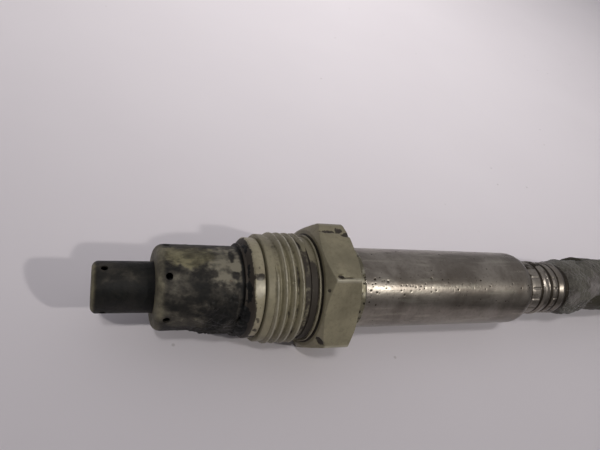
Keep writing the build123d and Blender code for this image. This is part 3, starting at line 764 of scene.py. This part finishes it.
def rear_sleeve():
    front = [(SLEEVE_START, 7.2), (SLEEVE_START, SLEEVE_R), (SHOULDER_X, SLEEVE_R)]
    arc = [(SHOULDER_X + SHOULDER_ARC * sin(t), SLEEVE_R - SHOULDER_ARC * (1 - cos(t)))
           for t in np.linspace(0.1, 1.0, 9)]
    tail = [(63.3, 5.72), (64.0, 5.92), (65.7, 5.95), (66.5, 5.46), (67.3, 5.98), (68.3, 5.90),
            (69.4, 5.38), (70.3, 5.80), (71.3, 5.58), (72.6, 5.85), (73.6, 5.60), (74.2, 5.62),
            (TAIL_END, 5.3)]
    inner = [(TAIL_END, TAIL_BORE_R), (63.8, TAIL_BORE_R), (60.2, 7.2)]
    radii = [0, 0.12, 0] + [0] * 9 + [0.25, 0.5, 0.5, 0.4, 0.4, 0.4, 0.5, 0.4, 0.4, 0.4, 0.3, 0.2, 0.15]
    loop = divided(rounded(front + arc + tail + inner, radii), 0.16, 2.0,
                   lambda x, r: r > 7.3 or x > 60 and r > 5.25)

    def shape(p):
        radius = radius_of(p)
        outer = (radius > 7.3) | ((p[..., 0] > 60.5) & (radius > 5.2))
        turn = turn_of(p)
        soft = (fbm(p * (0.12, 0.3, 0.3), 5, 3) - 0.5) * 0.05 + (fbm(p * 2.5, 15, 3) - 0.5) * 0.012
        crimp = (smooth(p[..., 0], 63.4, 64.0) * (1 - smooth(p[..., 0], 65.6, 66.2))
                 + smooth(p[..., 0], 69.8, 70.3) * (1 - smooth(p[..., 0], 70.8, 71.2)))
        crease = 1 - smooth(np.abs(angle_gap(turn * 16, 53 * 16)) / 16, 0.5, 3.2)
        slant = 68.6 + 1.2 * (55 - turn) / 60
        cut = (1 - smooth(np.abs(p[..., 0] - slant), 0.10, 0.34)) * bump_at(turn, 75, 20, 22)
        return np.where(outer, soft - pitted(p)[1] - 0.16 * crimp * crease - 0.28 * cut, 0)

    sleeve = turned("rear_steel_sleeve", loop, 340, shape)
    paint(sleeve,
          grime=lambda p: pitted(p)[0] + 0.32 * smooth(fbm(p * (0.25, 0.9, 0.9), 44, 4), 0.56, 0.76)
          # Painted dark reflection: the top of the sleeve is painted darker.
          + tail_grime(p[:, 0]) + 0.22 * smooth(turn_of(p), 92, 118),
          shine=lambda p: 0.25 * smooth(fbm(p * (0.2, 1.6, 1.6), 36, 4), 0.55, 0.75) * (p[:, 0] < 62))
    look = worn_steel("sleeve_steel", (0.290, 0.264, 0.228), (0.165, 0.145, 0.122), (0.10, 0.076, 0.052),
                      0.85, (0.26, 0.39), brushed=(300, 2600, 2600))
    return ready(sleeve, look, PROBE, "sleeve_steel", "rear_sleeve", crisp=50)


# ------------------------------------------------------------------ sleeve end and boot
FIBRE_OFFSET, FIBRE_WEAVE, LOOSE_FIBRES = 0.15, (15, 1.25), 90
BOOT_START, BOOT_TURN, BOOT_LENGTH = (82.5, 1.1, 0.25), (0, 6.8, 1.8), 26.0


def woven(around, along, strands, pitch):
    """Height, 0 to 1, of a plain braid at an angle round it (in turns) and a length along it."""
    u, v = around * strands + along / pitch, around * strands - along / pitch
    over = (np.floor(u + 0.5) + np.floor(v + 0.5)) % 2 == 0
    return np.where(over, np.abs(np.cos(pi * u)), np.abs(np.cos(pi * v))) ** 0.6


def fibre_wrap():
    """Frayed glass fibre braid round the tail's end, with a tongue that lies over the boot."""
    rows, columns = 170, 300
    turn = np.linspace(-180, 180, columns, endpoint=False)[None, :]
    u = np.linspace(0, 1, rows)[:, None]
    ring = np.stack([0 * turn, np.cos(np.radians(turn)), np.sin(np.radians(turn))], -1)
    tongue = bump_at(turn, TONGUE_TURN, 34, 18)
    ragged = fbm(ring * 5.5, 81, 4, 0.65) - 0.5
    lip = bump_at(turn, 138, 12, 34)
    start = 74.95 - 2.6 * lip - 0.4 * bump_at(turn, -60, 20, 40) + 0.7 * ragged
    end = 82.2 + 1.5 * bump_at(turn, -28, 8, 24) + 10.2 * tongue + 2.6 * (fbm(ring * 9, 82, 3, 0.7) - 0.5)
    x = start + (end - start) * u
    p = np.stack([x / 4, ring[..., 1] * 1.6 + 0 * x, ring[..., 2] * 1.6 + 0 * x], -1)
    lumps = (fbm(p * 1.6, 83, 4, 0.55) - 0.5) * 1.35
    radius = 5.35 + 0.62 * smooth(x, 74.6, 77.2) + 0.45 * lip * (1 - smooth(x, 75, 78))
    over_boot = smooth(x, 80.6, 83.0) * tongue
    radius = radius * (1 - over_boot) + (6.50 + 0.10 * smooth(x, 84, 90)) * over_boot
    radius = radius + lumps * (1 - 0.45 * over_boot)
    radius = radius + 0.16 * woven((turn + 180) / 360 + 0 * x, x, *FIBRE_WEAVE) - 0.08
    radius = radius - 0.35 * bump_at(u * 100, 100, 0, 6) - 0.30 * bump_at(u * 100, 0, 0, 5)
    radius = np.maximum(radius, 5.0 + 1.38 * over_boot)
    shift = FIBRE_OFFSET + 0.80 * smooth(x, 79.5, 84)
    inner = np.where(over_boot > 0.5, 6.15, 4.62)

    def placed(r):
        return np.stack([x, -r * np.cos(np.radians(turn)) + shift, r * np.sin(np.radians(turn))
                         + 0.1 * smooth(x, 79.5, 84)], -1)

    outer = placed(radius)
    below = placed(np.minimum(inner, radius - 0.28) + 0 * radius)[::-1][::6]
    wrap = grid_mesh("fibre_wrap", np.concatenate([outer, below]))
    paint(wrap,
          weave=lambda q: woven((turn_of(q) + 180) / 360, q[:, 0], *FIBRE_WEAVE),
          pale=lambda q: spots(q, (1, 83.0, 58, 2.6, 2.6, 3, 0.8), (0.6, 76.5, 30, 1.6, 1.6, 4, 0.9)),
          dirt=lambda q: (0.8 * smooth(fbm(q * 0.5, 85, 4, 0.6), 0.45, 0.68)
                          + 0.4 * spot(q, 77.3, 100, 1.4, 2.2, 5, 0.7)))
    look = Look("glass_fibre", Metallic=0.0, Sheen_Weight=0.25, Sheen_Roughness=0.5,
                Specular_IOR_Level=0.25)
    clumps = look.noise(420, 4, 0.6)
    threads = look.noise(1.0, 4, 0.7, stretch=(900, 5200, 5200))
    colour = look.mix(clumps, (0.055, 0.052, 0.043), (0.120, 0.113, 0.092))
    colour = look.mix(look.math("MULTIPLY", look.attr("pale"), 0.8), colour, (0.215, 0.195, 0.190))
    colour = look.mix(look.math("MULTIPLY", look.attr("dirt"), 0.75), colour, (0.040, 0.033, 0.028))
    # Painted shade: the gaps between the braid's strands are painted near black.
    colour = look.mix(look.step(look.attr("weave"), 0.55, 0.15, 0, 0.7), colour, (0.022, 0.020, 0.017))
    colour = look.mix(look.step(threads, 0.35, 0.7, 0, 0.35), colour, (0.17, 0.16, 0.135))
    look.set(**{"Base Color": colour, "Roughness": look.step(clumps, 0.3, 0.7, 0.7, 0.9),
                "Normal": look.bump(look.math("ADD", threads, clumps), 0.12, 0.9)})
    ready(wrap, look, PROBE, "glass_fibre", "fibre_sleeve", crisp=0)
    loose_fibres(look)


def loose_fibres(look):
    """Short single fibres that stand off the frayed edges."""
    rng = np.random.default_rng(11)
    points, faces = [], []
    for _ in range(LOOSE_FIBRES):
        at_front = rng.random() < 0.35
        turn = rng.uniform(-180, 180) if at_front or rng.random() < 0.5 else rng.normal(66, 32)
        on_tongue = not at_front and abs(angle_gap(turn, TONGUE_TURN)) < 42
        if on_tongue:
            x = rng.uniform(83, 92.2)
        else:
            x = rng.normal(75.2 if at_front else 82.2, 0.5)
        r0 = 6.6 if on_tongue else 5.75
        lift = rng.uniform(-0.15, 0.35)
        reach = rng.uniform(0.7, 2.0) * (-1 if at_front else 1)
        slew = rng.normal(0, 9)
        base = len(points)
        shift = FIBRE_OFFSET + 0.8 * float(smooth(np.float64(x), 79.5, 84))
        for k in range(6):
            t = k / 5
            r = r0 + lift * t + 0.1 * sin(3 * t + slew)
            a = radians(turn + slew * t * t)
            centre = np.array((x + reach * t, -r * cos(a) + shift, r * sin(a)))
            thick = 0.045 * (1 - 0.6 * t)
            for side in range(4):
                b = a + side * pi / 2
                points.append(centre + thick * np.array((0, -cos(b), sin(b))))
        for k in range(5):
            for side in range(4):
                one, two = base + 4 * k + side, base + 4 * k + (side + 1) % 4
                faces.append((one, one + 4, two + 4, two))
        faces += [(base, base + 1, base + 2, base + 3), (base + 23, base + 22, base + 21, base + 20)]
    fibres = mesh_object("loose_fibres", points, faces)
    paint(fibres, weave=lambda q: 1 + 0 * q[:, 0], pale=lambda q: 0.3 + 0 * q[:, 0],
          dirt=lambda q: 0 * q[:, 0])
    ready(fibres, look, PROBE, "glass_fibre", crisp=0)


def boot():
    """Shrunk tube from the fibre sleeve on to the lead, drawn in a little where it shrank."""
    outline = [(-1.2, 5.0), (-1.2, 6.2), (9, 6.15), (BOOT_LENGTH, 5.35), (BOOT_LENGTH, 5.0)]
    loop = divided(rounded(outline, (0, 0.45, 8, 0.35, 0)), 0.22, 1.5, lambda x, r: r > 5.1)

    def shape(p):
        radius = radius_of(p)
        rings = 0.06 * np.sin(p[..., 0] * 2.4 + 2 * fbm(p * 0.2, 7, 2)) * smooth(p[..., 0], 3, 8)
        folds = (fbm(p * (0.25, 0.7, 0.7), 45, 4) - 0.5) * 0.35
        return np.where(radius > 5.05, rings + folds, 0)

    tube = turned("shrunk_boot", loop, 200, shape)
    p = coords(tube)
    oblique = 1 - smooth(p[:, 0], 0.0, 6.0)
    p[:, 0] += oblique * 0.75 * p[:, 2] / 6.2 + oblique * 0.35 * p[:, 1] / 6.2
    turn = Matrix()
    for axis, angle in zip("XYZ", BOOT_TURN):
        turn = turn @ Matrix.Rotation(radians(angle), 4, axis)
    p = p @ np.array(turn.to_3x3()).T + BOOT_START
    tube.data.vertices.foreach_set("co", (p * MM).ravel())
    look = Look("boot_rubber", Metallic=0.0, Specular_IOR_Level=0.4)
    clouds, fine = look.noise(240, 4, 0.6), look.noise(2400, 3, 0.6)
    dusty = look.step(clouds, 0.5, 0.75, 0, 0.6)
    look.set(**{"Base Color": look.mix(dusty, (0.040, 0.036, 0.023), (0.095, 0.086, 0.060)),
                "Roughness": look.step(clouds, 0.3, 0.7, 0.5, 0.7),
                "Normal": look.bump(look.math("ADD", fine, clouds), 0.05, 0.7)})
    return ready(tube, look, PROBE, "boot_rubber", "lead_boot", crisp=45)


# ------------------------------------------------------------------ lead
LEAD_RADIUS, LEAD_LENGTH = 4.0, 420.0
TIE_Z, LIE_Z, PLUG_Z = -6.3, -7.0, 4.6
COIL_R, COIL_X, COIL_PITCH, COIL_STEP, COIL_POINTS = 43.3, 131.0, 8.4, 30.0, 18
COIL_Y = 1.0 - COIL_R
CLIMB, CLIMB_TOP = (375.0, 480.0), 70.0
LAST_RUN = 13.0
LEAD_STEP, SMOOTHINGS, LEAD_SIDES, LEAD_WEAVE, WEAVE_DEPTH = 0.3, 6, 96, (8, 2.0), 0.16


def lead_points():
    """Control points of the lead: out of the tail, down, one and a half turns, and in to the plug."""
    points = [(75.1, 0, 0), (89.0, 0.7, -0.3), (104.0, 1.7, -2.4), (COIL_X - 14, 1.4, TIE_Z)]
    for i in range(COIL_POINTS):
        turned = COIL_STEP * (i + 0.5)
        below = COIL_R - COIL_PITCH * (turned % 360) / 360
        radius, z = below, LIE_Z
        if turned > 360:
            climbed = min(1, max(0, (turned - CLIMB[0]) / (CLIMB[1] - CLIMB[0])))
            radius = below - COIL_PITCH * cos(radians(CLIMB_TOP * climbed))
            z = LIE_Z + COIL_PITCH * sin(radians(CLIMB_TOP * climbed))
        if min(turned % 360, 360 - turned % 360) < COIL_STEP:
            z = TIE_Z
        last = COIL_POINTS - 1 - i
        if last < 2:
            z += (PLUG_Z - z) / (last + 1)
        reach = radius / cos(radians(COIL_STEP / 2))
        angle = radians(90 - turned)
        points.append((COIL_X + reach * cos(angle), COIL_Y + reach * sin(angle), z))
    x, y, z = points[-1]
    return points + [(x - LAST_RUN, y, z)]


def spline_through(points):
    """Even points along the NURBS spline that has these control points, in millimetres."""
    data = bpy.data.curves.new("route", "CURVE")
    data.dimensions = "3D"
    data.resolution_u = 24
    spline = data.splines.new("NURBS")
    spline.points.add(len(points) - 1)
    for point, at in zip(spline.points, points):
        point.co = (*(c * MM for c in at), 1)
    spline.order_u = 3
    spline.use_endpoint_u = True
    route = bpy.data.objects.new("route", data)
    scene.collection.objects.link(route)
    mesh = bpy.data.meshes.new_from_object(route)
    line = np.array([v.co for v in mesh.vertices]) / MM
    bpy.data.objects.remove(route)
    bpy.data.meshes.remove(mesh)
    return line


def resampled(line, step):
    """The line with points an even step apart, and each one's length along it."""
    run = np.concatenate([[0], np.cumsum(np.linalg.norm(np.diff(line, axis=0), axis=1))])
    at = np.linspace(0, run[-1], int(run[-1] / step) + 1)
    return np.stack([np.interp(at, run, line[:, k]) for k in range(3)], -1), at


def lead():
    """The braided lead from the tail to the plug, with the boot and strap on it."""
    line, at = resampled(spline_through(lead_points()), LEAD_STEP)
    for _ in range(SMOOTHINGS):
        line[1:-1] = (line[:-2] + 2 * line[1:-1] + line[2:]) / 4
    ahead = np.gradient(line, axis=0)
    ahead /= np.linalg.norm(ahead, axis=1)[:, None]
    side = np.array((0.0, 0, 1.0)) - ahead * ahead[:, 2:3]
    side /= np.linalg.norm(side, axis=1)[:, None]
    other = np.cross(ahead, side)
    turns = np.arange(LEAD_SIDES) / LEAD_SIDES
    weave = woven(turns[None, :], at[:, None], *LEAD_WEAVE)
    radius = LEAD_RADIUS - WEAVE_DEPTH + WEAVE_DEPTH * weave
    a = 2 * pi * turns[None, :, None]
    ring = np.cos(a) * side[:, None, :] + np.sin(a) * other[:, None, :]
    points = line[:, None, :] + radius[..., None] * ring
    rows, columns = radius.shape
    index = np.arange(rows * columns).reshape(rows, columns)
    index = np.hstack([index, index[:, :1]])
    quads = np.stack([index[:-1, :-1], index[:-1, 1:], index[1:, 1:], index[1:, :-1]], -1).reshape(-1, 4)
    caps = [tuple(index[0, :-1][::-1]), tuple(index[-1, :-1])]
    cable = mesh_object("sleeved_lead", points.reshape(-1, 3), [*quads, *caps])
    data = cable.data.attributes.new("weave", "FLOAT", "POINT").data
    data.foreach_set("value", np.ascontiguousarray(weave, np.float32).ravel())
    look = Look("lead_braid", Metallic=0.0, Sheen_Weight=0.3, Sheen_Roughness=0.4,
                Specular_IOR_Level=0.35)
    dust, threads = look.noise(160, 4, 0.6), look.noise(5200, 3, 0.7)
    colour = look.mix(look.step(dust, 0.45, 0.75, 0, 0.5), (0.020, 0.020, 0.021), (0.060, 0.055, 0.048))
    # Painted shade: the gaps between the braid's strands are painted near black.
    colour = look.mix(look.step(look.attr("weave"), 0.5, 0.15, 0, 0.8), colour, (0.004, 0.004, 0.004))
    look.set(**{"Base Color": colour, "Roughness": look.step(threads, 0.3, 0.7, 0.5, 0.75),
                "Normal": look.bump(threads, 0.05, 0.8)})
    ready(cable, look, PROBE, "lead_braid", "lead", crisp=0)
    boot()
    strap()


def strap():
    """Woven hook and loop strap round the two passes of the lead."""
    centre = (COIL_X - 0.5, COIL_Y + COIL_R - COIL_PITCH / 2 + 0.1, TIE_Z)
    half_gap, inner, thick = COIL_PITCH / 2, 4.3, 0.38
    loop = []
    for start, y in ((-90, half_gap), (90, -half_gap)):
        for k in range(61):
            a = radians(start + 3 * k)
            loop.append((y, cos(a), sin(a)))
    width = np.linspace(-2.5, 2.5, 29)
    y, out_y, out_z = [column[:, None] + 0 * width for column in np.array(loop).T]
    along = np.arange(len(loop))[:, None] * 0.24 + 0 * width
    nap = 0.05 * (np.sin(along * 9) * np.sin(width * 12)) + 0.05 * np.cos(width * 1.25)
    lapped = smooth(along, 2.5, 2.8) * (1 - smooth(along, 12.0, 12.3)) * 0.30
    skins = []
    for radius in (inner + 0.02 + 0 * nap, inner + thick - 0.05 + nap * 0.6 + lapped * 0.5):
        skins.append(np.stack([centre[0] + width + 0 * y, centre[1] + y + radius * out_y,
                               centre[2] + radius * out_z], -1))
    section = np.concatenate([skins[0], skins[1][:, ::-1]], 1)
    band = grid_mesh("tie_strap", section)
    look = plain_look("tie_fabric", (0.012, 0.012, 0.013), (0.030, 0.029, 0.030), 900, (0.7, 0.9),
                      relief=0.15, Sheen_Weight=0.4, Sheen_Roughness=0.5)
    return ready(band, look, PROBE, "tie_fabric", "coil_tie", crisp=60)


# ------------------------------------------------------------------ carried-over CAD nodes
def moulded(name, one, two, gloss=(0.38, 0.55), **sockets):
    """Moulded plastic with a spark eroded grain and faint scuffs."""
    look = Look(name, Metallic=0.0, **sockets)
    grain, clouds = look.noise(4200, 2, 0.5), look.noise(120, 4, 0.6)
    scuffs = look.step(look.noise(1.0, 4, 0.7, stretch=(260, 1400, 260)), 0.58, 0.75, 0, 0.5)
    colour = look.mix(clouds, one, two)
    colour = look.mix(scuffs, colour, tuple(min(1.0, c * 1.8 + 0.02) for c in two))
    look.set(**{"Base Color": colour, "Roughness": look.step(clouds, 0.3, 0.7, *gloss),
                "Normal": look.bump(grain, 0.03, 0.6)})
    return look


CERAMIC_NODES = ["front_ceramic_support", "middle_ceramic_support", "rear_ceramic_support",
                 "contact_holder_upper", "contact_holder_lower"]


def finish_nodes():
    """A procedural finish for each CAD node that stays in view or inside."""
    rows = [
        (CERAMIC_NODES,
         plain_look("alumina", (0.78, 0.76, 0.70), (0.70, 0.68, 0.62), 500, (0.5, 0.65))),
        (["front_talc_seal", "rear_talc_seal"],
         plain_look("talc", (0.62, 0.60, 0.55), (0.52, 0.50, 0.46), 1600, (0.8, 0.95), relief=0.03)),
        (["packing_washer", "contact_springs", "holder_clip"],
         plain_look("spring_steel", (0.52, 0.52, 0.51), (0.42, 0.42, 0.42), 600, (0.25, 0.4), 0.95, 0.006)),
        (["sensing_element"],
         plain_look("element_ceramic", (0.72, 0.71, 0.67), (0.64, 0.63, 0.58), 700, (0.45, 0.6))),
        (["sealing_grommet"],
         plain_look("grommet_rubber", (0.020, 0.020, 0.020), (0.034, 0.033, 0.032), 500, (0.6, 0.8))),
        (["inner_wires"],
         plain_look("wire_cover", (0.62, 0.60, 0.56), (0.50, 0.48, 0.45), 300, (0.45, 0.6))),
        (["plug_wire_seal"],
         plain_look("seal_rubber", (0.30, 0.055, 0.035), (0.24, 0.042, 0.028), 500, (0.45, 0.6))),
        (["plug_blades"],
         plain_look("blade_metal", (0.62, 0.60, 0.55), (0.54, 0.50, 0.42), 700, (0.2, 0.35), 1.0, 0.004)),
        (["plug_housing"], moulded("plug_plastic", (0.014, 0.014, 0.016), (0.024, 0.024, 0.026))),
        (["plug_rear_cap"], moulded("cap_plastic", (0.060, 0.060, 0.065), (0.085, 0.085, 0.090))),
        (["secondary_lock"],
         moulded("lock_plastic", (0.16, 0.035, 0.19), (0.13, 0.028, 0.155), (0.28, 0.4))),
    ]
    for names, look in rows:
        for name in names:
            for place in nodes[name].material_slots:
                place.material = look.mat


# ------------------------------------------------------------------ lights and floor
FLOOR_HALF = 1.2
FLOOR_PALE, FLOOR_PALER, FLOOR_SPECK = (0.70, 0.665, 0.69), (0.74, 0.705, 0.73), (0.33, 0.30, 0.29)


def make_floor():
    mesh = bpy.data.meshes.new("floor")
    corners = [(x * FLOOR_HALF, y * FLOOR_HALF, FLOOR_Z) for x, y in ((-1, -1), (1, -1), (1, 1), (-1, 1))]
    mesh.from_pydata(corners, [], [(0, 1, 2, 3)])
    floor = bpy.data.objects.new("floor", mesh)
    scene.collection.objects.link(floor)
    look = Look("floor", Roughness=0.75, Specular_IOR_Level=0.2)
    broad = look.noise(26, 3, 0.5)
    pale = look.mix(broad, FLOOR_PALE, FLOOR_PALER)
    specks = look.step(look.cells(150), 0.065, 0.03, 0, 0.4)
    specks = look.math("MULTIPLY", specks, look.step(look.noise(34, 2, 0.5), 0.5, 0.6))
    look.set(**{"Base Color": look.mix(specks, pale, FLOOR_SPECK)})
    floor.data.materials.append(look.mat)


def area_light(name, at, aim, size, power, colour, spread=180):
    """A square light of this size in metres; at and aim are in millimetres."""
    data = bpy.data.lights.new(name, "AREA")
    data.shape, data.size, data.size_y = "RECTANGLE", size, size
    data.energy, data.color, data.spread = power, colour, radians(spread)
    light = bpy.data.objects.new(name, data)
    scene.collection.objects.link(light)
    light.location = Vector(at) * MM
    light.rotation_mode = "QUATERNION"
    light.rotation_quaternion = (Vector(aim) * MM - light.location).to_track_quat("-Z", "Y")


SKY_LOW, SKY_HIGH, SKY_BEHIND = (0.16, 0.157, 0.164), (0.43, 0.42, 0.44), 0.75
LAMP_WATTS, LAMP_AT, LAMP_AIM, LAMP_SIZE = 1.75, (430, -480, 600), (10, 0, 0), 0.03
CEILING_WATTS, CEILING_AT, CEILING_AIM, CEILING_SIZE = 0.255, (-190, -250, 760), (85, 230, 0), 0.10
CEILING_SPREAD = 33


def make_light():
    """A dim sky that is lighter above and behind, a small warm lamp and a narrow ceiling light."""
    scene.view_settings.view_transform = "Standard"
    world = bpy.data.worlds.new("studio")
    world.use_nodes = True
    tree = world.node_tree
    background = tree.nodes["Background"]
    place = tree.nodes.new("ShaderNodeTexCoord")
    split = tree.nodes.new("ShaderNodeSeparateXYZ")
    tone = tree.nodes.new("ShaderNodeValToRGB")
    tree.links.new(place.outputs["Generated"], split.inputs[0])
    behind = tree.nodes.new("ShaderNodeMath")
    behind.operation = "MULTIPLY_ADD"
    behind.inputs[1].default_value = SKY_BEHIND
    tree.links.new(split.outputs[1], behind.inputs[0])
    tree.links.new(split.outputs[2], behind.inputs[2])
    tree.links.new(behind.outputs[0], tone.inputs[0])
    tree.links.new(tone.outputs[0], background.inputs[0])
    low, high = tone.color_ramp.elements
    low.position, low.color = 0.0, (*SKY_LOW, 1)
    high.position, high.color = 1.0, (*SKY_HIGH, 1)
    scene.world = world
    area_light("lamp", LAMP_AT, LAMP_AIM, LAMP_SIZE, LAMP_WATTS, (1, 0.96, 0.92))
    area_light("ceiling", CEILING_AT, CEILING_AIM, CEILING_SIZE, CEILING_WATTS, (1, 0.97, 0.96),
               CEILING_SPREAD)


make_camera()
lead()
make_floor()
make_light()
tip_cup()
outer_cup()
cover_crust()
housing()
union_nut()
collar()
rear_sleeve()
fibre_wrap()
finish_nodes()
